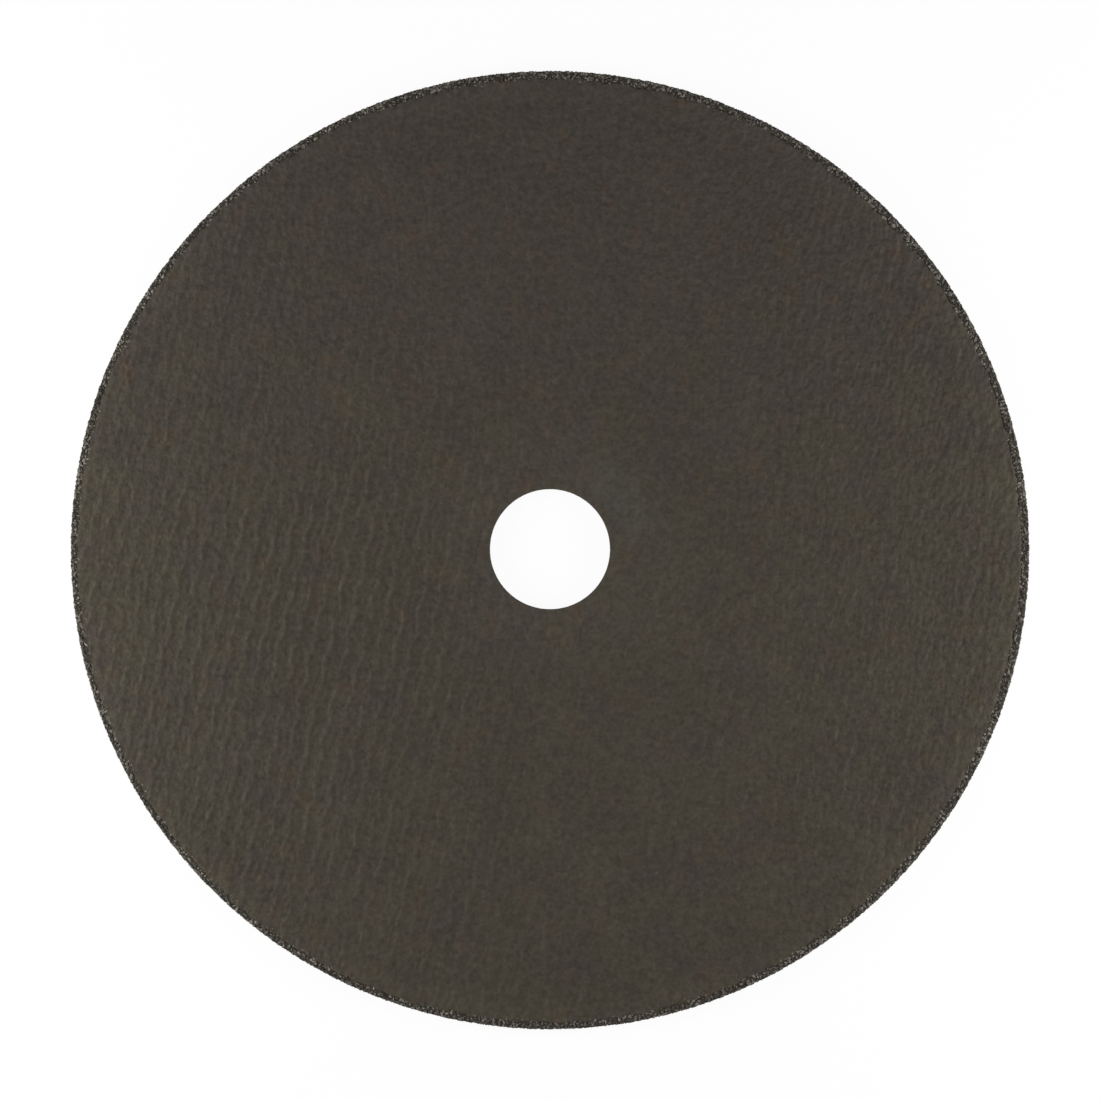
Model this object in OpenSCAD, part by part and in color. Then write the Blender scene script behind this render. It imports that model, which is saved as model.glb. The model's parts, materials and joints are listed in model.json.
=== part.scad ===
// Flat resin-bonded cut off wheel, lying on its back face.
// The wheel's axis is Z and its back face is at Z = 0, with the centre of the arbor hole at the origin.
// All sizes are in millimetres.

/* [Wheel] */
// Outside diameter of the wheel
wheel_d = 178; // [150:1:230]
// Thickness over the two facings
wheel_t = 1.6; // [1.2:0.1:3.2]
// Diameter of the arbor hole
bore_d = 22.23; // [15:0.01:32]

/* [Facings] */
// Width of the bare grain between a facing and the rim
margin_w = 1.5; // [0.6:0.1:4]
// Height of a facing above the bare grain
facing_t = 0.12; // [0.06:0.01:0.2]
// Width of the pressed slope along a facing's cut edges
facing_slope = 0.15; // [0.05:0.05:0.5]

/* [Rim] */
// Radius of the two corners of the rim
rim_round = 0.3; // [0.05:0.05:0.5]

/* [Hidden] */
$fn = 360;

// Largest share of the bare rim's thickness that one rounded corner may take
corner_share = 0.4;

wheel_r = wheel_d / 2;
bore_r = bore_d / 2;
facing_r = wheel_r - margin_w;
bare_low_z = facing_t;
bare_high_z = wheel_t - facing_t;
bare_t = bare_high_z - bare_low_z;
corner_r = min(rim_round, corner_share * bare_t);

// Half section from the arbor hole to the edge of the facings.
// Both cut edges of each facing are pressed down to the bare grain in a short slope.
module faced_section() {
    polygon([
        [bore_r, bare_low_z],
        [bore_r + facing_slope, 0],
        [facing_r - facing_slope, 0],
        [facing_r, bare_low_z],
        [facing_r, bare_high_z],
        [facing_r - facing_slope, wheel_t],
        [bore_r + facing_slope, wheel_t],
        [bore_r, bare_high_z]
    ]);
}

// Half section of the bare grain, from the arbor hole out to the rim's rounded corners
module bare_section() {
    translate([bore_r, bare_low_z])
        square([wheel_r - corner_r - bore_r, bare_t]);
    translate([bore_r, bare_low_z + corner_r])
        square([wheel_r - bore_r, bare_t - 2 * corner_r]);
    for (corner_z = [bare_low_z + corner_r, bare_high_z - corner_r])
        translate([wheel_r - corner_r, corner_z])
            circle(r = corner_r);
}

// Grain, glass cloth and facings, pressed and cured as one piece
module cutoff_wheel() {
    color("#454139")
        rotate_extrude() {
            faced_section();
            bare_section();
        }
}

cutoff_wheel();
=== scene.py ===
# %% [markdown]
# # A flat cut off wheel
# A cut off wheel is a thin disc of hard grain in cured resin. A cloth of glass yarn is pressed into each
# face to hold the disc together at speed, and a sheet of dark paper covers each cloth. Everything cures as
# one piece. The paper stops short of the rim, where the bare grain shows.
#
# The wheel's solid already has the right size, so it is loaded first and every main size is read from it.
# What is modelled later then fits without any adjusting. Lengths are in millimetres until a mesh is made.

# %% Load the solid and read its sizes
import json
import math

import bmesh
import bpy
import numpy as np
from mathutils import Color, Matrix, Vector
from mathutils.geometry import delaunay_2d_cdt


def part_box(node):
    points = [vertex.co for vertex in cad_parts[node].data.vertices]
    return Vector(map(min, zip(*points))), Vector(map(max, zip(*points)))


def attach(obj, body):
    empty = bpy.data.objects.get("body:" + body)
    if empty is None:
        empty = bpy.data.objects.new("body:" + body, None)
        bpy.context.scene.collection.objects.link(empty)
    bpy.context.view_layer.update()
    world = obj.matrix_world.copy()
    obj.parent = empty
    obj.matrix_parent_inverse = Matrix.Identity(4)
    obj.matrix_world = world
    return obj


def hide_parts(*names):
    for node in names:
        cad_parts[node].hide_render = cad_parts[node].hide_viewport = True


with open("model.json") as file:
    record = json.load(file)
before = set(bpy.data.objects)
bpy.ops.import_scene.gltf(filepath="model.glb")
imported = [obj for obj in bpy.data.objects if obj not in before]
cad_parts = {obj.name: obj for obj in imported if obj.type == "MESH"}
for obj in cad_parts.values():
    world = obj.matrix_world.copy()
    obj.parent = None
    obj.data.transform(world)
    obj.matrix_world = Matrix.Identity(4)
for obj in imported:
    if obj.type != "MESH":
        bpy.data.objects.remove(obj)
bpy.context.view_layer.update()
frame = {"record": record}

MM = 0.001
lowest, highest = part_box("cutoff_wheel")
mounts = {mount["name"]: mount for mount in frame["record"]["mounts"]}
wheel_r = (highest.x - lowest.x) / 2 / MM
wheel_t = (highest.z - lowest.z) / MM
bore_r = mounts["arbor_bore"]["dims"]["r_mm"]
bare_t = mounts["arbor_bore"]["dims"]["length_mm"]
facing_t = (wheel_t - bare_t) / 2
bare_low = facing_t
bare_high = wheel_t - facing_t
print(f"wheel {2 * wheel_r:.2f} mm across, {wheel_t:.2f} mm thick, hole {2 * bore_r:.2f} mm")

# %% [markdown]
# ## The camera
# The wheel is seen from above, a little smaller than the frame. A long lens keeps the view nearly
# square-on, so the wall of the hole hardly shows. The distance follows from two measures in pixels: half
# the frame's width, and the wheel's radius. The view leans by less than a degree, which is enough to
# move the hole a little up from the middle of the disc.

# %% Camera above the wheel
LENS = 100.0
SENSOR = 36.0
FRAME_HALF_PX = 550.0
WHEEL_R_PX = 479.7
HOLE_UP_PX = 0.9
VIEW_LEAN = math.radians(0.76)
CLIP_START = 10.0
view_half = wheel_r * FRAME_HALF_PX / WHEEL_R_PX
distance = view_half * LENS / (SENSOR / 2)
aim = Vector((0, -HOLE_UP_PX * view_half / FRAME_HALF_PX, wheel_t))

scene = bpy.context.scene
camera = bpy.data.objects.new("camera", bpy.data.cameras.new("camera"))
camera.data.lens = LENS
camera.data.sensor_width = SENSOR
camera.data.clip_start = CLIP_START * MM
camera.location = (aim + distance * Vector((0, -math.sin(VIEW_LEAN), math.cos(VIEW_LEAN)))) * MM
camera.rotation_euler = (VIEW_LEAN, 0, 0)
scene.collection.objects.link(camera)
scene.camera = camera
scene.view_settings.view_transform = "Standard"
print(f"camera {distance:.0f} mm from the face, frame {2 * view_half:.1f} mm wide")

# %% [markdown]
# ## Shader maths as plain expressions
# A material is a graph of nodes, and a graph is hard to read as code. This small class wraps one socket
# and gives it Python's own operators, so `1 - mask * 0.3` adds the Math nodes by itself. Every other
# node comes from `make`, which sets the node's settings before its sockets.

# %% A socket that understands arithmetic
class Field:
    """One socket of a node tree, for use in expressions."""

    def __init__(self, tree, socket=None):
        self.tree = tree
        self.socket = socket

    def make(self, kind, settings=None, sockets=None, output=0):
        """Add a node, and give back one of its outputs if it has any."""
        node = self.tree.nodes.new(kind)
        for key, value in (settings or {}).items():
            setattr(node, key, value)
        for key, value in (sockets or {}).items():
            if isinstance(value, Field):
                self.tree.links.new(value.socket, node.inputs[key])
            else:
                node.inputs[key].default_value = value
        return Field(self.tree, node.outputs[output]) if node.outputs else None

    def also(self, output):
        """Another output of the same node."""
        return Field(self.tree, self.socket.node.outputs[output])

    def maths(self, operation, first, second):
        """One Math node for two numbers or sockets."""
        return self.make("ShaderNodeMath", {"operation": operation}, {0: first, 1: second})

    def __add__(self, other):
        return self.maths("ADD", self, other)

    __radd__ = __add__

    def __sub__(self, other):
        return self.maths("SUBTRACT", self, other)

    def __rsub__(self, other):
        return self.maths("SUBTRACT", other, self)

    def __mul__(self, other):
        return self.maths("MULTIPLY", self, other)

    __rmul__ = __mul__

    def __truediv__(self, other):
        return self.maths("DIVIDE", self, other)

    def step(self, low, high):
        """0 up to low and 1 from high on, with a soft rise between."""
        sockets = {"Value": self, "From Min": low, "From Max": high}
        return self.make("ShaderNodeMapRange", {"interpolation_type": "SMOOTHSTEP"}, sockets)


print("shader expressions ready")

# %% [markdown]
# ## Studio
# Two low softboxes stand left and right of the wheel. Their light skims over the face, so the cloth under
# the paper shows as fine streaks, and both sides of the wheel come out a little brighter than its top
# and bottom. They are hidden from reflections, because a low view over the paper would otherwise show
# them as glare. A plain fill comes from all round. The floor and the backdrop are white to the camera
# and to reflections only, so they add no light of their own, and the floor keeps a soft shadow.

# %% Softboxes
LAMP_SIDE = 110.0
LEFT_PLACE = (-300, -30, 62)
LEFT_WATTS = 1.60
RIGHT_PLACE = (300, -30, 64)
RIGHT_WATTS = 1.28


def softbox(name, place, watts):
    """A square lamp that faces the wheel's centre from a place in millimetres."""
    lamp = bpy.data.lights.new(name, "AREA")
    lamp.shape = "SQUARE"
    lamp.size = LAMP_SIDE * MM
    lamp.energy = watts
    stand = bpy.data.objects.new(name, lamp)
    stand.location = Vector(place) * MM
    stand.rotation_mode = "QUATERNION"
    stand.rotation_quaternion = (-stand.location).to_track_quat("-Z", "Y")
    stand.visible_camera = False
    stand.visible_glossy = False
    scene.collection.objects.link(stand)
    print(f"{name}: {watts} W at {place}")


softbox("left_softbox", LEFT_PLACE, LEFT_WATTS)
softbox("right_softbox", RIGHT_PLACE, RIGHT_WATTS)

# %% Fill and white backdrop
FILL = 0.38
BACKDROP = 1.0
WHITE = (1, 1, 1, 1)


def seen_directly(paint):
    """1 for rays from the camera, a reflection or a pane, and 0 for light that falls on things."""
    rays = paint.make("ShaderNodeLightPath", output="Is Camera Ray")
    total = rays + rays.also("Is Glossy Ray") + rays.also("Is Transmission Ray")
    return paint.maths("MINIMUM", total, 1)


world = bpy.data.worlds.new("studio")
world.use_nodes = True
world.node_tree.nodes.clear()
air = Field(world.node_tree)
fill = air.make("ShaderNodeBackground", sockets={"Color": WHITE, "Strength": FILL})
backdrop = air.make("ShaderNodeBackground", sockets={"Color": WHITE, "Strength": BACKDROP})
sky = air.make("ShaderNodeMixShader", sockets={0: seen_directly(air), 1: fill, 2: backdrop})
air.make("ShaderNodeOutputWorld", sockets={"Surface": sky})
scene.world = world
print(f"fill {FILL}, backdrop white")

# %% Floor paint
FLOOR_GLOW = 0.94
FLOOR_WHITE = (0.9, 0.9, 0.9, 1)


def fresh_material(name):
    """An empty material and the field that its nodes are made from."""
    material = bpy.data.materials.new(name)
    material.use_nodes = True
    material.node_tree.nodes.clear()
    return material, Field(material.node_tree)


floor_paint, paint = fresh_material("floor_white")
matt = paint.make("ShaderNodeBsdfDiffuse", sockets={"Color": FLOOR_WHITE})
glow = paint.make("ShaderNodeEmission", sockets={"Color": WHITE, "Strength": BACKDROP})
glowing = seen_directly(paint) * FLOOR_GLOW
surface = paint.make("ShaderNodeMixShader", sockets={0: glowing, 1: matt, 2: glow})
paint.make("ShaderNodeOutputMaterial", sockets={"Surface": surface})
print(f"floor paint glows by {FLOOR_GLOW} where it is seen")

# %% Floor
FLOOR_HALF = 5000.0
FLOOR_GAP = 0.01
SQUARE = ((-1, -1), (1, -1), (1, 1), (-1, 1))
floor_z = lowest.z - FLOOR_GAP * MM
floor_corners = [(x * FLOOR_HALF * MM, y * FLOOR_HALF * MM, floor_z) for x, y in SQUARE]
floor_mesh = bpy.data.meshes.new("floor")
floor_mesh.from_pydata(floor_corners, [], [(0, 1, 2, 3)])
floor_mesh.materials.append(floor_paint)
floor = bpy.data.objects.new("floor", floor_mesh)
scene.collection.objects.link(floor)
print(f"floor {2 * FLOOR_HALF * MM:.0f} m wide, just under the wheel")

# %% [markdown]
# ## The cloth under the paper
# The cloth is an open mesh with a pick of weft about every 3.5 mm and a pair of warp ends about every
# 3 mm. The two ends of a pair swap sides from one pick to the next, which locks the picks in place. The
# end that lies on top stands out most under the paper, as long wavy lines. They lean a little, because
# nobody lines the cloth up with anything when the wheel is pressed.
#
# The relief could be sculpted or painted, but a weave follows a rule, so a formula on arrays of points
# gives every yarn at once. A slow wander keeps the yarns from looking ruled.

# %% Smooth noise for whole arrays of points
LATTICE = 256


def eased(share):
    """A share from 0 to 1 that starts and ends gently."""
    return share * share * (3 - 2 * share)


def lumps(x, y, size, seed):
    """Smooth noise from -1 to 1 with lumps of about the given size."""
    table = np.random.default_rng(seed).uniform(-1, 1, (LATTICE, LATTICE))
    column, row = np.floor(x / size).astype(int), np.floor(y / size).astype(int)
    right, up = eased(x / size - column), eased(y / size - row)

    def corner(across, along):
        return table[(column + across) % LATTICE, (row + along) % LATTICE]

    below = corner(0, 0) * (1 - right) + corner(1, 0) * right
    above = corner(0, 1) * (1 - right) + corner(1, 1) * right
    return below * (1 - up) + above * up


sample = lumps(np.zeros(1), np.zeros(1), size=1.0, seed=1)
print(f"noise at the origin: {sample[0]:.2f}")

# %% Cloth relief
WARP_PITCH = 2.98
PICK_PITCH = 3.51
WARP_LEAN = math.radians(12.6)
PICK_SLOPE = math.radians(15.9)
SWING = 0.38
YARN_HALF = 0.33
PICK_HALF = 0.9
LOWER_SHARE = 0.20
PICK_SHARE = 0.15
WANDER = 0.45
WANDER_SIZE = 17.0

across_yarns = np.array([[math.cos(WARP_LEAN), -math.sin(WARP_LEAN)],
                         [math.sin(PICK_SLOPE), math.cos(PICK_SLOPE)]])


def nearest(distance, pitch):
    """Signed distance to the nearest of a row of lines."""
    return (distance / pitch + 0.5) % 1 * pitch - pitch / 2


def bell(distance, half_width):
    """1 at no distance, with a smooth fall to 0 on both sides."""
    return np.exp(-(distance / half_width) ** 2)


def cloth_relief(x, y, seed):
    """How far the cloth lifts the paper at points of a face, from 0 in an open mesh to 1 on a yarn."""
    u, v = (row[0] * x + row[1] * y for row in across_yarns)
    u = u + WANDER * lumps(x, y, WANDER_SIZE, seed)
    v = v + WANDER * lumps(x, y, WANDER_SIZE, seed + 1)
    swing = SWING * np.cos(np.pi * v / PICK_PITCH)
    warp = nearest(u, WARP_PITCH)
    upper = bell(warp - swing, YARN_HALF)
    lower = LOWER_SHARE * bell(warp + swing, YARN_HALF)
    picks = PICK_SHARE * bell(nearest(v, PICK_PITCH), PICK_HALF)
    return (upper + lower + picks) / (1 + LOWER_SHARE + PICK_SHARE)


print(f"warp pairs every {WARP_PITCH} mm, picks every {PICK_PITCH} mm")

# %% [markdown]
# ## The facing papers
# Each facing is a thin sheet with a hole, cut a little short of the rim. Its outer edge is slightly torn
# and not quite centred, and both edges are pressed down in a short slope.
#
# A disc made of rings would sample the weave unevenly, so the sheet is a grid in line with the yarns,
# with more rows across them than along. The grid's stepped edge is joined to the round edges by a
# Delaunay triangulation. A root below the paper closes the sheet, so that it is a real solid.

# %% Edge of the paper
FRONT_SEED = 40
BACK_SEED = 140
MARGIN_W = 1.42
EDGE_SLOPE = 0.15
OFF_CENTRE = np.array([-0.14, -0.10])
FRAY_DEPTHS = (0.10, 0.20, 0.16)
FRAY_SIZES = (6.0, 1.4, 0.6)
NICK_DEPTH = 0.55
NICK_SIZE = 1.5
NICK_FROM = 0.45
INNER_COUNT = 200
OUTER_PER_INNER = 14
TURN = 2 * np.pi

outer_count = INNER_COUNT * OUTER_PER_INNER
outer_angles = np.arange(outer_count) * TURN / outer_count
inner_angles = outer_angles[::OUTER_PER_INNER]
hole_edge_r = bore_r + EDGE_SLOPE


def circle(angles, radius):
    """Flat points at a radius about the origin, which may change from point to point."""
    return np.stack([np.cos(angles) * radius, np.sin(angles) * radius], -1)


def torn_radius(angles, seed):
    """Radius of the paper's outer edge about its own centre."""
    x, y = circle(angles, wheel_r - MARGIN_W).T
    radius = np.full(len(angles), wheel_r - MARGIN_W)
    for number, (depth, size) in enumerate(zip(FRAY_DEPTHS, FRAY_SIZES)):
        radius += depth * lumps(x, y, size, seed + number)
    nicks = lumps(x, y, NICK_SIZE, seed + len(FRAY_SIZES))
    return radius - NICK_DEPTH * np.maximum(0, nicks - NICK_FROM)


edge_range = torn_radius(outer_angles, FRONT_SEED)
print(f"paper ends {wheel_r - edge_range.max():.2f} to {wheel_r - edge_range.min():.2f} mm from the rim")

# %% Sheet grid in line with the yarns
ROWS_PER_WARP = 10
ROWS_PER_PICK = 4
REACH_SHARE = 1.1
RING_GAP = 0.22
grid_step = np.array([WARP_PITCH / ROWS_PER_WARP, PICK_PITCH / ROWS_PER_PICK])
grid_reach = np.ceil(REACH_SHARE * wheel_r / grid_step).astype(int)


def on_paper(x, y, outer_r):
    """True for points that lie a little inside both round edges."""
    own_x, own_y = x - OFF_CENTRE[0], y - OFF_CENTRE[1]
    limit = np.interp(np.arctan2(own_y, own_x) % TURN, outer_angles, outer_r, period=TURN)
    return (np.hypot(own_x, own_y) < limit - RING_GAP) & (np.hypot(x, y) > hole_edge_r + RING_GAP)


def yarn_grid(outer_r):
    """Points and squares in line with the yarns, and a mask of the grid's cells that became squares."""
    lines = [np.arange(-count, count + 1) for count in grid_reach]
    uv = np.stack(np.meshgrid(*lines, indexing="ij"), -1) * grid_step
    xy = uv @ np.linalg.inv(across_yarns).T
    good = on_paper(xy[..., 0], xy[..., 1], outer_r)
    whole = good[:-1, :-1] & good[1:, :-1] & good[1:, 1:] & good[:-1, 1:]
    number = np.arange(good.size).reshape(good.shape)
    squares = np.stack([number[:-1, :-1], number[1:, :-1], number[1:, 1:], number[:-1, 1:]], -1)[whole]
    used, squares = np.unique(squares, return_inverse=True)
    return xy.reshape(-1, 2)[used], squares.reshape(-1, 4), whole


def open_edges(squares):
    """The edges that only one square has."""
    edges = np.concatenate([np.stack([squares[:, k], squares[:, (k + 1) % 4]], -1) for k in range(4)])
    base = edges.max() + 1
    return edges[~np.isin(edges[:, 0] * base + edges[:, 1], edges[:, 1] * base + edges[:, 0])]


print(f"grid of {grid_step[0]:.2f} by {grid_step[1]:.2f} mm")

# %% Join the grid to the round edges
CDT_TRIANGLES = 0
CDT_TOLERANCE = 1e-5


def ring_edges(start, count):
    """The edges of a closed ring of points."""
    numbers = start + np.arange(count)
    return np.stack([numbers, np.roll(numbers, -1)], -1)


def fill_between(points, edges):
    """Triangles over all of the points that keep the given edges."""
    flat = [Vector(point) for point in points.tolist()]
    found = delaunay_2d_cdt(flat, edges.tolist(), [], CDT_TRIANGLES, CDT_TOLERANCE)
    _, _, triangles, sources, _, _ = found
    return np.array([numbers[0] for numbers in sources])[np.array(triangles)]


def in_strip(centres, outer, whole):
    """True for places inside the torn edge that are clear of the hole and of the grid's squares."""
    own_x, own_y = (centres - OFF_CENTRE).T
    nearby = np.floor(np.arctan2(own_y, own_x) % TURN / (TURN / outer_count)).astype(int) % outer_count
    first, second = outer[nearby], outer[(nearby + 1) % outer_count]
    side = second - first
    away = centres - first
    within = side[:, 0] * away[:, 1] - side[:, 1] * away[:, 0] > 0
    clear = np.hypot(*centres.T) > hole_edge_r * math.cos(np.pi / INNER_COUNT)
    column, row = (np.floor(centres @ across_yarns.T / grid_step).astype(int) + grid_reach).T
    return within & clear & ~whole[column, row]


print(f"{outer_count} points along the torn edge, {INNER_COUNT} round the hole")

# %% Top of a sheet
def paper_top(seed):
    """The top of a facing: flat points, its squares and triangles, and where its two rings start."""
    outer_r = torn_radius(outer_angles, seed) - EDGE_SLOPE
    grid, squares, whole = yarn_grid(outer_r)
    outer = circle(outer_angles, outer_r) + OFF_CENTRE
    inner = circle(inner_angles, hole_edge_r)
    points = np.concatenate([grid, outer, inner])
    outer_start = len(grid)
    inner_start = outer_start + len(outer)

    grid_border, border = np.unique(open_edges(squares), return_inverse=True)
    strip = np.concatenate([grid_border, np.arange(outer_start, len(points))])
    edges = np.concatenate([border.reshape(-1, 2),
                            ring_edges(len(grid_border), len(outer)),
                            ring_edges(len(grid_border) + len(outer), len(inner))])
    triangles = strip[fill_between(points[strip], edges)]
    triangles = triangles[in_strip(points[triangles].mean(1), outer, whole)]
    print(f"{len(squares)} squares and {len(triangles)} edge triangles in a sheet")
    return points, squares, triangles, outer_start, inner_start


# %% Walls and underside of a sheet
def band(lower, upper, count):
    """Squares between two rings of points, facing out when the first ring is the lower one."""
    here = np.arange(count)
    after = np.roll(here, -1)
    return np.stack([lower + here, lower + after, upper + after, upper + here], -1)


def washer(outer, inner):
    """Triangles that close the sheet from below, with several outer points to each inner one."""
    out = np.arange(outer_count)
    hub = inner + out // OUTER_PER_INNER
    spokes = np.stack([outer + out, hub, outer + np.roll(out, -1)], -1)
    here = np.arange(INNER_COUNT)
    after = np.roll(here, -1)
    gaps = np.stack([outer + after * OUTER_PER_INNER, inner + here, inner + after], -1)
    return np.concatenate([spokes, gaps])


def as_lists(groups):
    """Groups of faces with different counts of corners as one plain list."""
    return [face for group in groups for face in group.tolist()]


underside_count = outer_count + INNER_COUNT
print(f"{underside_count} triangles under a sheet")

# %% How deep the cloth is printed
PRINT_EVEN = 0.45
PRINT_SHARES = (0.15, 0.25)
PRINT_SIZES = (30.0, 7.0)
PRINT_DEEPER = 0.6
PRINT_DEEPEST = np.array([-40.0, -16.0])
PRINT_SPREAD = 38.0
PRINT_SEED = 10


def print_depth(flat, seed):
    """How deep the cloth is printed at flat points, from 0 to 1: in patches, and deepest at one place."""
    from_deepest = np.hypot(*(flat - PRINT_DEEPEST).T)
    depth = PRINT_EVEN + PRINT_DEEPER * bell(from_deepest, PRINT_SPREAD)
    for number, (share, size) in enumerate(zip(PRINT_SHARES, PRINT_SIZES)):
        depth = depth + share * lumps(*flat.T, size, seed + PRINT_SEED + number)
    return np.clip(depth, 0, 1)


print(f"print deepest {-PRINT_DEEPEST[0]:.0f} mm left of the hole and {-PRINT_DEEPEST[1]:.0f} mm below it")

# %% Press the sheet over the cloth
RELIEF = 0.18
CLOTH_SEED = 20
CUT_EDGE = -0.8
EDGE_SINK = 0.025
EDGE_SINK_W = 1.2
ROOT = 0.2
HOLE_LEDGE = 0.06


def paper_solid(seed):
    """Points in millimetres, faces, how strongly the cloth shows, and the sheet rolled out flat."""
    flat, squares, triangles, outer_start, inner_start = paper_top(seed)
    depth = print_depth(flat, seed)
    crest = cloth_relief(*flat.T, seed + CLOTH_SEED)
    from_edge = wheel_r - MARGIN_W - np.hypot(*flat.T)
    sink = EDGE_SINK * np.clip(1 - from_edge / EDGE_SINK_W, 0, 1) ** 2
    top = np.column_stack([flat, wheel_t - RELIEF * depth * (1 - crest) - sink])

    outward = np.hypot(*(flat[outer_start:inner_start] - OFF_CENTRE).T) + EDGE_SLOPE
    outer = circle(outer_angles, outward) + OFF_CENTRE
    inner = circle(inner_angles, bore_r + HOLE_LEDGE)
    rings = [np.column_stack([ring, np.full(len(ring), z)])
             for z in (bare_high, bare_high - ROOT) for ring in (outer, inner)]
    points = np.concatenate([top, *rings])
    outer_rolled = circle(outer_angles, outward + ROOT) + OFF_CENTRE
    inner_rolled = circle(inner_angles, bore_r + HOLE_LEDGE - ROOT)
    rolled_out = np.concatenate([flat, outer, inner, outer_rolled, inner_rolled])

    outer_foot = len(top)
    inner_foot = outer_foot + len(outer)
    outer_root = inner_foot + len(inner)
    inner_root = outer_root + len(outer)
    walls = [band(outer_foot, outer_start, len(outer)), band(outer_root, outer_foot, len(outer)),
             band(inner_start, inner_foot, len(inner)), band(inner_foot, inner_root, len(inner))]
    faces = as_lists([squares, triangles, *walls, washer(outer_root, inner_root)])
    shown = np.concatenate([crest * depth, np.full(len(points) - len(crest), CUT_EDGE)])
    return points, faces, shown, rolled_out


paper_points, paper_faces, paper_crest, paper_flat = paper_solid(FRONT_SEED)
print(f"cloth print up to {RELIEF} mm deep, paper top at {paper_points[:, 2].max():.3f} mm")

# %% [markdown]
# ## The bare rim
# Outside the paper the grain lies open: hard broken crystals a little under a millimetre across, sunk in
# dark resin so that only their tops show. The rim is where the wheel cuts, so both margins and the rim's
# wall look alike.
#
# A bumpy texture on a smooth ring would leave a smooth outline, so the rim is made as on the real wheel.
# A ring of resin lies a little below the finished size, and thousands of small crystals stand in it.

# %% The rim's outline as a path
RIM_ROUND = 0.3
UNDER_PAPER = 0.9
COVERED_SINK = 0.2
QUARTER = math.pi / 2
margin_start = wheel_r - MARGIN_W - UNDER_PAPER
flat_len = wheel_r - RIM_ROUND - margin_start
bend_len = RIM_ROUND * QUARTER
wall_len = bare_t - 2 * RIM_ROUND
path_len = 2 * (flat_len + bend_len) + wall_len


def rim_surface(path):
    """Radius, height and outward direction at lengths along the rim, from the top margin downwards."""
    first_bend = np.clip((path - flat_len) / RIM_ROUND, 0, QUARTER)
    second_bend = np.clip((path - flat_len - bend_len - wall_len) / RIM_ROUND, 0, QUARTER)
    out_r, out_z = np.sin(first_bend + second_bend), np.cos(first_bend + second_bend)
    ahead = np.clip(path, 0, flat_len)
    down = np.clip(path - flat_len - bend_len, 0, wall_len)
    back = np.clip(path - flat_len - 2 * bend_len - wall_len, 0, flat_len)
    radius = margin_start + ahead - back + RIM_ROUND * out_r
    return radius, bare_high - RIM_ROUND * (1 - out_z) - down, out_r, out_z


def sink_under_paper(path):
    """How much deeper the rim lies where a paper covers it."""
    from_end = np.minimum(path, path_len - path)
    return COVERED_SINK * np.clip(1 - from_end / UNDER_PAPER, 0, 1)


print(f"{path_len:.2f} mm across the bare rim from under one paper to under the other")

# %% Resin body
BODY_SEED = 7
BODY_COUNT = 1200
RIM_RINGS = 21
BORE_RINGS = 6
RESIN_DEPTH = (0.05, 0.13)
BORE_PITS = 0.10
HIDDEN_STEP = 0.5
HIDDEN_SINK = 0.15
body_angles = np.arange(BODY_COUNT) * TURN / BODY_COUNT


def resin_body(seed):
    """A closed ring: rough along the rim and in the hole, and flat under the papers."""
    rng = np.random.default_rng(seed)
    rings = []
    for path in np.linspace(0, path_len, RIM_RINGS):
        radius, z, out_r, out_z = rim_surface(np.full(BODY_COUNT, path))
        depth = rng.uniform(*RESIN_DEPTH, BODY_COUNT) + sink_under_paper(path)
        rings.append((radius - depth * out_r, z - depth * out_z))
    level = np.ones(BODY_COUNT)
    rings.append(((bore_r + HIDDEN_STEP) * level, (bare_low + HIDDEN_SINK) * level))
    for z in np.linspace(bare_low, bare_high, BORE_RINGS):
        rings.append((bore_r + rng.uniform(0, BORE_PITS, BODY_COUNT), z * level))
    rings.append(((bore_r + HIDDEN_STEP) * level, (bare_high - HIDDEN_SINK) * level))
    points = [np.column_stack([circle(body_angles, radius), z]) for radius, z in rings]
    starts = np.arange(len(rings)) * BODY_COUNT
    faces = [band(after, here, BODY_COUNT) for here, after in zip(starts, np.roll(starts, -1))]
    return np.concatenate(points), as_lists(faces)


body_points, body_faces = resin_body(BODY_SEED)
print(f"resin body with {len(body_faces)} faces")

# %% Crystal shapes
SHAPE_SEED = 11
SHAPES = 24
CRYSTAL_CORNERS = (7, 11)


def crystal_shapes(seed):
    """Corners and triangles of a few broken crystals of radius 1."""
    rng = np.random.default_rng(seed)
    made = []
    for _ in range(SHAPES):
        corners = rng.normal(size=(rng.integers(*CRYSTAL_CORNERS), 3))
        corners /= np.linalg.norm(corners, axis=1, keepdims=True)
        shell = bmesh.new()
        for corner in corners:
            shell.verts.new(corner)
        bmesh.ops.convex_hull(shell, input=shell.verts)
        bmesh.ops.triangulate(shell, faces=shell.faces)
        shell.verts.index_update()
        made.append((np.array([corner.co for corner in shell.verts]),
                     np.array([[corner.index for corner in face.verts] for face in shell.faces])))
        shell.free()
    return made


shapes = crystal_shapes(SHAPE_SEED)
facets = [len(triangles) for _, triangles in shapes]
print(f"{SHAPES} crystal shapes with {min(facets)} to {max(facets)} facets")

# %% Seats of the crystals
CRYSTAL_PITCH = 0.66
ROW_SPREAD = (0.1, 0.9)
COLUMN_SPREAD = (-0.4, 0.4)
CRYSTAL_R = (0.34, 0.54)
CRYSTAL_RISE = (-0.06, 0.05)
CRYSTAL_REACH = 0.45
PRESSED_FLAT = 0.04


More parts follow.
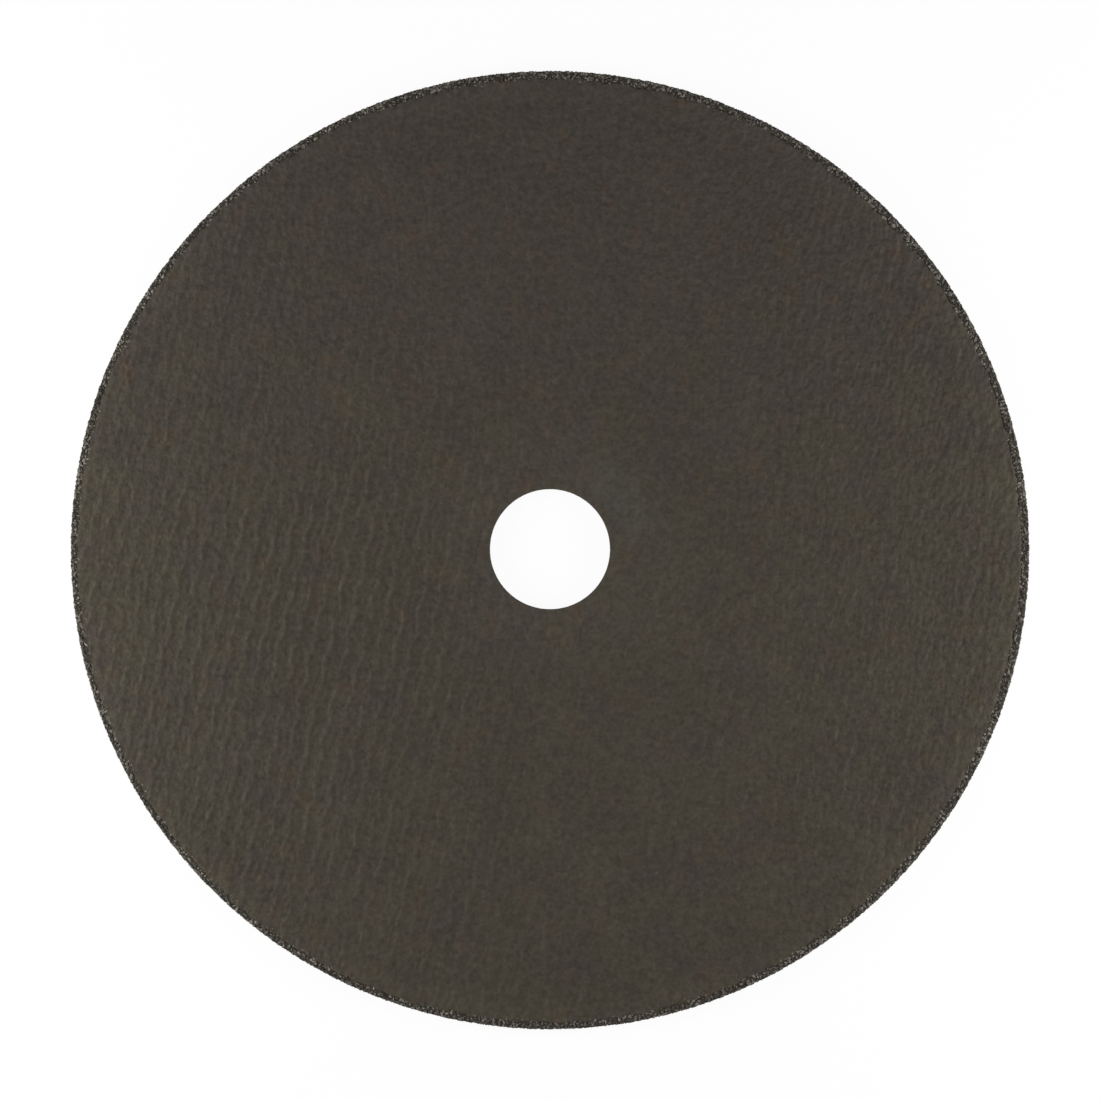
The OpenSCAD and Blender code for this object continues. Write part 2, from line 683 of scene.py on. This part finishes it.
def crystal_seats(start, end, rng):
    """Centres and sizes of the crystals along part of the rim's path."""
    rows = math.ceil((end - start) / CRYSTAL_PITCH)
    columns = round(TURN * wheel_r / CRYSTAL_PITCH)
    count = rows * columns
    row, column = np.divmod(np.arange(count), columns)
    path = start + (row + rng.uniform(*ROW_SPREAD, count)) * (end - start) / rows
    angle = (column + row % 2 / 2 + rng.uniform(*COLUMN_SPREAD, count)) * TURN / columns
    size = rng.uniform(*CRYSTAL_R, count)
    rise = rng.uniform(*CRYSTAL_RISE, count) - sink_under_paper(path) - CRYSTAL_REACH * size
    radius, z, out_r, out_z = rim_surface(path)
    return np.column_stack([circle(angle, radius + rise * out_r), z + rise * out_z]), size


def in_mould(points):
    """Points past the mould's wall or plates, moved back to them."""
    beyond = np.maximum(1, np.hypot(points[:, 0], points[:, 1]) / wheel_r)
    height = np.clip(points[:, 2], bare_low - PRESSED_FLAT, bare_high + PRESSED_FLAT)
    return np.column_stack([points[:, :2] / beyond[:, None], height])


print(f"crystals {2 * CRYSTAL_R[0]:.2f} to {2 * CRYSTAL_R[1]:.2f} mm across, one every {CRYSTAL_PITCH} mm")

# %% Set the crystals in the rim
CRYSTAL_FLAT = (0.7, 1.2)
CELL_MIDDLE = 0.5
CELL_SHARE = 0.4


def crystal_band(start, end, seed):
    """Crystals along part of the rim's path: points, triangles, tints and places on a picture."""
    rng = np.random.default_rng(seed)
    centre, size = crystal_seats(start, end, rng)
    kind = rng.permutation(len(size)) % SHAPES
    side = math.ceil(math.sqrt(len(size)))
    points, faces, tints, places = [], [], [], []
    total = 0
    for number, (corners, triangles) in enumerate(shapes):
        chosen = np.flatnonzero(kind == number)
        spin, _ = np.linalg.qr(rng.normal(size=(len(chosen), 3, 3)))
        spin *= np.sign(np.linalg.det(spin))[:, None, None]
        stretch = rng.uniform(*CRYSTAL_FLAT, (len(chosen), 1, 3))
        placed = (corners * stretch) @ spin * size[chosen, None, None] + centre[chosen, None]
        points.append(placed.reshape(-1, 3))
        offsets = total + np.arange(len(chosen)) * len(corners)
        faces.append((triangles[None] + offsets[:, None, None]).reshape(-1, 3))
        tints.append(np.repeat(rng.uniform(0, 1, len(chosen)), len(corners)))
        cell = np.stack([chosen % side, chosen // side], -1)[:, None] + CELL_MIDDLE
        places.append(((cell + CELL_SHARE * corners[:, :2]) / side).reshape(-1, 2))
        total += len(chosen) * len(corners)
    points = in_mould(np.concatenate(points))
    return points, np.concatenate(faces).tolist(), np.concatenate(tints), np.concatenate(places)


print(f"crystals stretched by {CRYSTAL_FLAT[0]} to {CRYSTAL_FLAT[1]} along each side")

# %% [markdown]
# ## Colours and patterns for the finishes
# The finishes are procedural: colour, shine and fine roughness are worked out at each point of a surface,
# from noise in millimetres. That gives the right scale with no picture and no seams. A few helpers cover
# it: a colour picked from a picture, a mix of two colours, a colour made lighter or darker, noise, and
# the distance from the hole's centre.

# %% Colour helpers
FULL_TONE = 255
MID_TONE = 128
# A Mix node has like-named sockets for numbers, vectors and colours, so those for colours go by number.
MIX_FIRST = 6
MIX_SECOND = 7
MIX_RESULT = 2


def linear(red, green, blue):
    """A colour picked from a picture, 0 to 255, as the linear values that a shader takes."""
    picked = Color((red, green, blue)) / FULL_TONE
    return (*picked.from_srgb_to_scene_linear(), 1)


def blend(share, first, second):
    """A mix of two colours, at a share from 0 to 1."""
    sockets = {0: share, MIX_FIRST: first, MIX_SECOND: second}
    return share.make("ShaderNodeMix", {"data_type": "RGBA"}, sockets, output=MIX_RESULT)


def lighter(colour, strength):
    """A colour times a strength that may change over the surface."""
    return colour.make("ShaderNodeVectorMath", {"operation": "SCALE"}, {0: colour, "Scale": strength})


mid_grey = linear(MID_TONE, MID_TONE, MID_TONE)
print(f"a mid grey of {MID_TONE} is {mid_grey[0]:.3f} to a shader")

# %% Places and noise
NOISE_MIDDLE = 0.5
FINE = 2.0
PLAIN = 1.0
SOFT = 0.5


def in_mm(paint):
    """The place on the piece, in millimetres."""
    place = paint.make("ShaderNodeTexCoord", output="Object")
    return lighter(place, 1 / MM)


def along(place, axis):
    """How far a place lies along one axis of the wheel."""
    return place.make("ShaderNodeSeparateXYZ", sockets={"Vector": place}, output=axis)


def from_centre(place):
    """How far a place lies from the hole's centre."""
    return place.make("ShaderNodeVectorMath", {"operation": "LENGTH"}, {0: place}, output="Value")


def patches(place, size, detail):
    """Noise about 0 with patches of a size in millimetres."""
    sockets = {"Vector": place, "Scale": 1 / size, "Detail": detail}
    return place.make("ShaderNodeTexNoise", sockets=sockets) - NOISE_MIDDLE


print(f"noise comes soft, plain or fine, with details of {SOFT}, {PLAIN} and {FINE}")

# %% [markdown]
# ## Facing paper finish
# The paper is dark and soaked with resin. It is nearly even, and what keeps it from looking like plastic
# is small: a faint mix of olive and reddish patches, fibres, paler yarn crests, partly paper stretched
# over the yarns and partly a painted highlight along them, and a few pale flecks. Both cut edges are
# worn a little paler. Fine creases run along the yarns and are stronger on the right. The front also has
# a faint rub beside the hole, where a washer lay.
#
# One long material would be hard to follow, so each of these is a function, and the last one joins them.

# %% Wear and flecks
EDGE_WEAR = (wheel_r - 7.0, wheel_r - 2.5)
HOLE_WEAR = (bore_r + 2.0, bore_r + 20.0)
RUB_INNER = (12.0, 14.0)
RUB_OUTER = (18.0, 22.0)
RUB_AIM = math.radians(37)
RUB_SPREAD = (0.78, 0.97)
RUB_PATCHY = (-0.4, 0.1)
FLECK_PITCH = 4.0
FLECK_EDGE = (0.03, 0.08)
FLECK_DRAW = (0.88, 0.9)


def edge_wear(place):
    """1 along both edges of the paper, falling to 0 between them."""
    radius = from_centre(place)
    return radius.step(*EDGE_WEAR) + 1 - radius.step(*HOLE_WEAR)


def washer_rub(place, mottle):
    """1 where a washer lay on one side of the hole, in patches, and 0 elsewhere."""
    radius = from_centre(place)
    aim = (math.cos(RUB_AIM), math.sin(RUB_AIM), 0)
    dot = {"operation": "DOT_PRODUCT"}
    ahead = place.make("ShaderNodeVectorMath", dot, {0: place, 1: aim}, output="Value")
    ring = radius.step(*RUB_INNER) * (1 - radius.step(*RUB_OUTER))
    return ring * (ahead / radius).step(*RUB_SPREAD) * mottle.step(*RUB_PATCHY)


def pale_flecks(place):
    """1 on a few small dots, and 0 between them."""
    sockets = {"Vector": place, "Scale": 1 / FLECK_PITCH}
    dots = place.make("ShaderNodeTexVoronoi", sockets=sockets, output="Distance")
    draw = place.make("ShaderNodeSeparateColor", sockets={"Color": dots.also("Color")}, output="Red")
    return (1 - dots.step(*FLECK_EDGE)) * draw.step(*FLECK_DRAW)


print(f"rub {RUB_INNER[0]:.0f} to {RUB_OUTER[1]:.0f} mm from the hole's centre")

# %% Colour of the paper
OLIVE = linear(66.8, 62.9, 54.0)
UMBER = linear(66.3, 61.4, 55.5)
RUSSET = linear(77, 62, 51)
RUBBED_GREY = linear(70, 68, 62)
TONE_SIZE = 8.0
TONE_SHARE = 0.6
MOTTLE_SHARE = 0.4
OLIVE_FROM = (-0.16, 0.06)
BROWNER_UP = (0.0, 60.0)
BROWNER_UP_BY = 0.15
BROWNER_HOLE = (14.0, 32.0)
BROWNER_HOLE_BY = 0.06
RUSSET_SIZE = 4.5
RUSSET_FROM = (0.10, 0.25)
RUSSET_SHARE = 0.3


def paper_colour(place, mottle, rubbed):
    """Patches of olive and umber, with more umber towards the top and the hole, russet spots and a rub."""
    browner_up = BROWNER_UP_BY * along(place, "Y").step(*BROWNER_UP)
    browner_hole = BROWNER_HOLE_BY * (1 - from_centre(place).step(*BROWNER_HOLE))
    tone = TONE_SHARE * patches(place, TONE_SIZE, FINE) + MOTTLE_SHARE * mottle
    base = blend((tone - (browner_up + browner_hole)).step(*OLIVE_FROM), UMBER, OLIVE)
    russet = RUSSET_SHARE * patches(place, RUSSET_SIZE, PLAIN).step(*RUSSET_FROM)
    return blend(rubbed, blend(russet, base, RUSSET), RUBBED_GREY)


print(f"paper in patches of about {TONE_SIZE} mm, with russet spots of about {RUSSET_SIZE} mm")

# %% Creases of the paper
CREASE_LEAN = math.radians(-14)
CREASE_SIZE = (0.85, 1.8, 1.0)
CREASE_UNIT = 1.0
CREASED_FROM = (-20.0, 50.0)
CREASED_MORE = 0.6
GRIT_HEIGHT = 0.4


def creased_height(place, fibres, grit):
    """Fine height of the paper: fibres, grit, and creases along the yarns, stronger on the right."""
    sockets = {"Vector": place, "Rotation": (0, 0, CREASE_LEAN), "Scale": CREASE_SIZE}
    along_yarns = place.make("ShaderNodeMapping", {"vector_type": "TEXTURE"}, sockets)
    creases = patches(along_yarns, CREASE_UNIT, SOFT)
    stronger = 1 + CREASED_MORE * along(place, "X").step(*CREASED_FROM)
    return (fibres + GRIT_HEIGHT * grit + creases) * stronger


print(f"creases {CREASE_SIZE[0]} mm wide and {CREASE_SIZE[1]} mm long")

# %% Facing paper
CLOUD_SIZE = 16.0
MOTTLE_SIZE = 2.6
FIBRE_SIZE = 1.1
GRIT_SIZE = 0.75
# Paler yarn crests: partly paper stretched over the yarns, partly a painted highlight along them.
CREST_STRETCH_AND_HIGHLIGHT = 0.08
CLOUD_LIGHT = 0.2
MOTTLE_LIGHT = 0.08
WEAR_LIGHT = 0.08
FLECK_LIGHT = 0.5
FIBRE_LIGHT = 0.78
GRIT_LIGHT = 0.52
PAPER_BUMP = 0.14
PAPER_SHINE = 0.08
PAPER_ROUGH = 0.82
FIBRE_ROUGH = 0.3
RUB_SMOOTH = 0.1
FRONT_RUB = 0.6
BACK_RUB = 0.0


def facing_paper(name, rub):
    """Paper with a rub of the given strength beside the hole."""
    material, paint = fresh_material(name)
    place = in_mm(paint)
    crest = paint.make("ShaderNodeAttribute", {"attribute_name": "crest"}, output="Fac")
    clouds = patches(place, CLOUD_SIZE, FINE)
    mottle = patches(place, MOTTLE_SIZE, FINE)
    fibres = patches(place, FIBRE_SIZE, FINE)
    grit = patches(place, GRIT_SIZE, PLAIN)
    rubbed = rub * washer_rub(place, mottle)
    strength = 1 + CREST_STRETCH_AND_HIGHLIGHT * crest + CLOUD_LIGHT * clouds + MOTTLE_LIGHT * mottle
    strength = strength + WEAR_LIGHT * edge_wear(place) + FLECK_LIGHT * pale_flecks(place)
    strength = strength + FIBRE_LIGHT * fibres + GRIT_LIGHT * grit
    height = creased_height(place, fibres, grit)
    bump = paint.make("ShaderNodeBump", sockets={"Distance": PAPER_BUMP * MM, "Height": height})
    shader = paint.make("ShaderNodeBsdfPrincipled", sockets={
        "Base Color": lighter(paper_colour(place, mottle, rubbed), strength),
        "Roughness": PAPER_ROUGH + FIBRE_ROUGH * fibres - RUB_SMOOTH * rubbed,
        "Specular IOR Level": PAPER_SHINE,
        "Normal": bump})
    paint.make("ShaderNodeOutputMaterial", sockets={"Surface": shader})
    return material


front_paper = facing_paper("front_facing_paper", FRONT_RUB)
back_paper = facing_paper("back_facing_paper", BACK_RUB)
print("papers made:", front_paper.name, "and", back_paper.name)

# %% [markdown]
# ## Bare grain finish
# Each crystal broke off a larger lump and has its own grey, from dark to pale, and its facets catch the
# light. The tint is stored on the crystal's points, so one material serves them all. The resin between
# them is dark and dull. Both carry painted shade on the rim's rounded corner and wall, and both change a
# little along the rim.

# %% Tone and painted shade along the rim
STRETCH_SIZE = 3.0
STRETCH_SHADE = 0.8
# Painted shade: the rim's rounded corner and wall are darkened in colour for the shade that falls there.
RIM_PAINTED_SHADE_SPAN = (wheel_r - 0.5, wheel_r - 0.1)
RIM_PAINTED_SHADE = 0.26


def stretches_and_painted_rim_shade(place):
    """About 1 on the margins, in darker and paler stretches, with painted shade on the rim's corner and
    wall.
    """
    stretches = patches(place, STRETCH_SIZE, PLAIN)
    return 1 + STRETCH_SHADE * stretches - RIM_PAINTED_SHADE * from_centre(place).step(*RIM_PAINTED_SHADE_SPAN)


print(f"the rim's wall is {RIM_PAINTED_SHADE:.0%} darker than its margins")

# %% Crystals
DARK_GRAIN = linear(57, 53.5, 47)
PALE_GRAIN = linear(119, 114, 106)
GRAIN_SHINE = 0.12
GRAIN_ROUGH = 0.45
DUST_SIZE = 0.25
DUST_LIGHT = 0.6
DUST_ROUGH = 0.4


def open_grain():
    """Dusty facets, in a grey that each crystal brings along."""
    material, paint = fresh_material("open_grain")
    place = in_mm(paint)
    tint = paint.make("ShaderNodeAttribute", {"attribute_name": "tint"}, output="Fac")
    dust = patches(place, DUST_SIZE, FINE)
    base = blend(tint, DARK_GRAIN, PALE_GRAIN)
    # The base colour carries the painted shade on the rim's corner and wall.
    shader = paint.make("ShaderNodeBsdfPrincipled", sockets={
        "Base Color": lighter(base, stretches_and_painted_rim_shade(place) + DUST_LIGHT * dust),
        "Roughness": GRAIN_ROUGH + DUST_ROUGH * dust,
        "Specular IOR Level": GRAIN_SHINE})
    paint.make("ShaderNodeOutputMaterial", sockets={"Surface": shader})
    return material


grain = open_grain()
print("grain finish made:", grain.name)

# %% Resin
DARK_RESIN = linear(36, 33, 29)
BROWN_RESIN = linear(72, 68, 61)
SPECK_SIZE = 0.35
BROWN_FROM = (-0.15, 0.15)
RESIN_BUMP = 0.08
RESIN_BUMP_SHARE = 0.8
RESIN_ROUGH = 0.6
SPECK_ROUGH = 0.3


def cured_resin():
    """Dull dark resin with brown specks of fine grain."""
    material, paint = fresh_material("cured_resin")
    place = in_mm(paint)
    specks = patches(place, SPECK_SIZE, FINE)
    base = blend(specks.step(*BROWN_FROM), DARK_RESIN, BROWN_RESIN)
    sockets = {"Strength": RESIN_BUMP_SHARE, "Distance": RESIN_BUMP * MM, "Height": specks}
    bump = paint.make("ShaderNodeBump", sockets=sockets)
    # The base colour carries the painted shade on the rim's corner and wall.
    shader = paint.make("ShaderNodeBsdfPrincipled", sockets={
        "Base Color": lighter(base, stretches_and_painted_rim_shade(place)),
        "Roughness": RESIN_ROUGH + SPECK_ROUGH * specks,
        "Specular IOR Level": GRAIN_SHINE,
        "Normal": bump})
    paint.make("ShaderNodeOutputMaterial", sockets={"Surface": shader})
    return material


resin = cured_resin()
print("resin finish made:", resin.name)

# %% [markdown]
# ## Putting the wheel together
# Every piece was worked out in millimetres in the solid's own frame, so it only has to be scaled to
# metres. The back paper is the same kind of sheet with its own draws, turned over. All pieces ride on
# the wheel's one body, and together they stand for the solid, which is then hidden.
#
# When the wheel is taken to another program, its finishes go along as pictures, so the papers and the
# crystals also say where their faces lie on a picture. A paper is rolled out flat and fills it, with the
# underside, which nobody sees, small in a corner. Each crystal has a cell of its own.

# %% Make the resin body
SHARP = math.radians(35)
PICTURE_MAP = "OFBake"


def piece(name, points, faces, material, smooth, values=None, places=None):
    """A mesh in metres that stands for the solid, with values of its points and places of its corners."""
    mesh = bpy.data.meshes.new(name)
    mesh.from_pydata((points * MM).tolist(), [], faces)
    mesh.materials.append(material)
    if smooth:
        mesh.shade_smooth()
        mesh.set_sharp_from_angle(angle=SHARP)
    for key, numbers in (values or {}).items():
        mesh.attributes.new(key, "FLOAT", "POINT").data.foreach_set("value", numbers)
    if places is not None:
        mesh.uv_layers.new(name=PICTURE_MAP).data.foreach_set("uv", places.ravel())
    made = bpy.data.objects.new(name, mesh)
    scene.collection.objects.link(made)
    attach(made, "root")
    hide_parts("cutoff_wheel")
    print(f"{name}: {sum(len(face) - 2 for face in faces)} triangles")


piece("resin_body", body_points, body_faces, resin, smooth=False)

# %% Make the papers
PICTURE_MIDDLE = 0.5
UNDERSIDE_SHARE = 0.06
UNDERSIDE_PLACE = 0.07
underside_corners = 3 * underside_count
turned_over = np.array([1, -1, -1])


def facing(name, points, faces, material, crest, rolled_out):
    """A paper that fills its picture, with its underside small in a corner."""
    flat = rolled_out[np.concatenate(faces)] / (2 * wheel_r)
    upper = flat[:-underside_corners] + PICTURE_MIDDLE
    underside = flat[-underside_corners:] * UNDERSIDE_SHARE + UNDERSIDE_PLACE
    places = np.concatenate([upper, underside])
    piece(name, points, faces, material, smooth=True, values={"crest": crest}, places=places)


facing("front_facing", paper_points, paper_faces, front_paper, paper_crest, paper_flat)
back_points, back_faces, back_crest, back_flat = paper_solid(BACK_SEED)
back_points = back_points * turned_over + (0, 0, wheel_t)
facing("back_facing", back_points, back_faces, back_paper, back_crest, back_flat)

# %% Make the rim's crystals
CRYSTAL_SEED = 21
margin_len = flat_len + bend_len / 2
wall_end = path_len - margin_len
bands = (("front_margin_grain", 0, margin_len),
         ("rim_grain", margin_len, wall_end),
         ("back_margin_grain", wall_end, path_len))
for number, (name, start, end) in enumerate(bands):
    crystal_points, crystal_faces, tints, cells = crystal_band(start, end, CRYSTAL_SEED + number)
    places = cells[np.concatenate(crystal_faces)]
    piece(name, crystal_points, crystal_faces, grain,
          smooth=False, values={"tint": tints}, places=places)
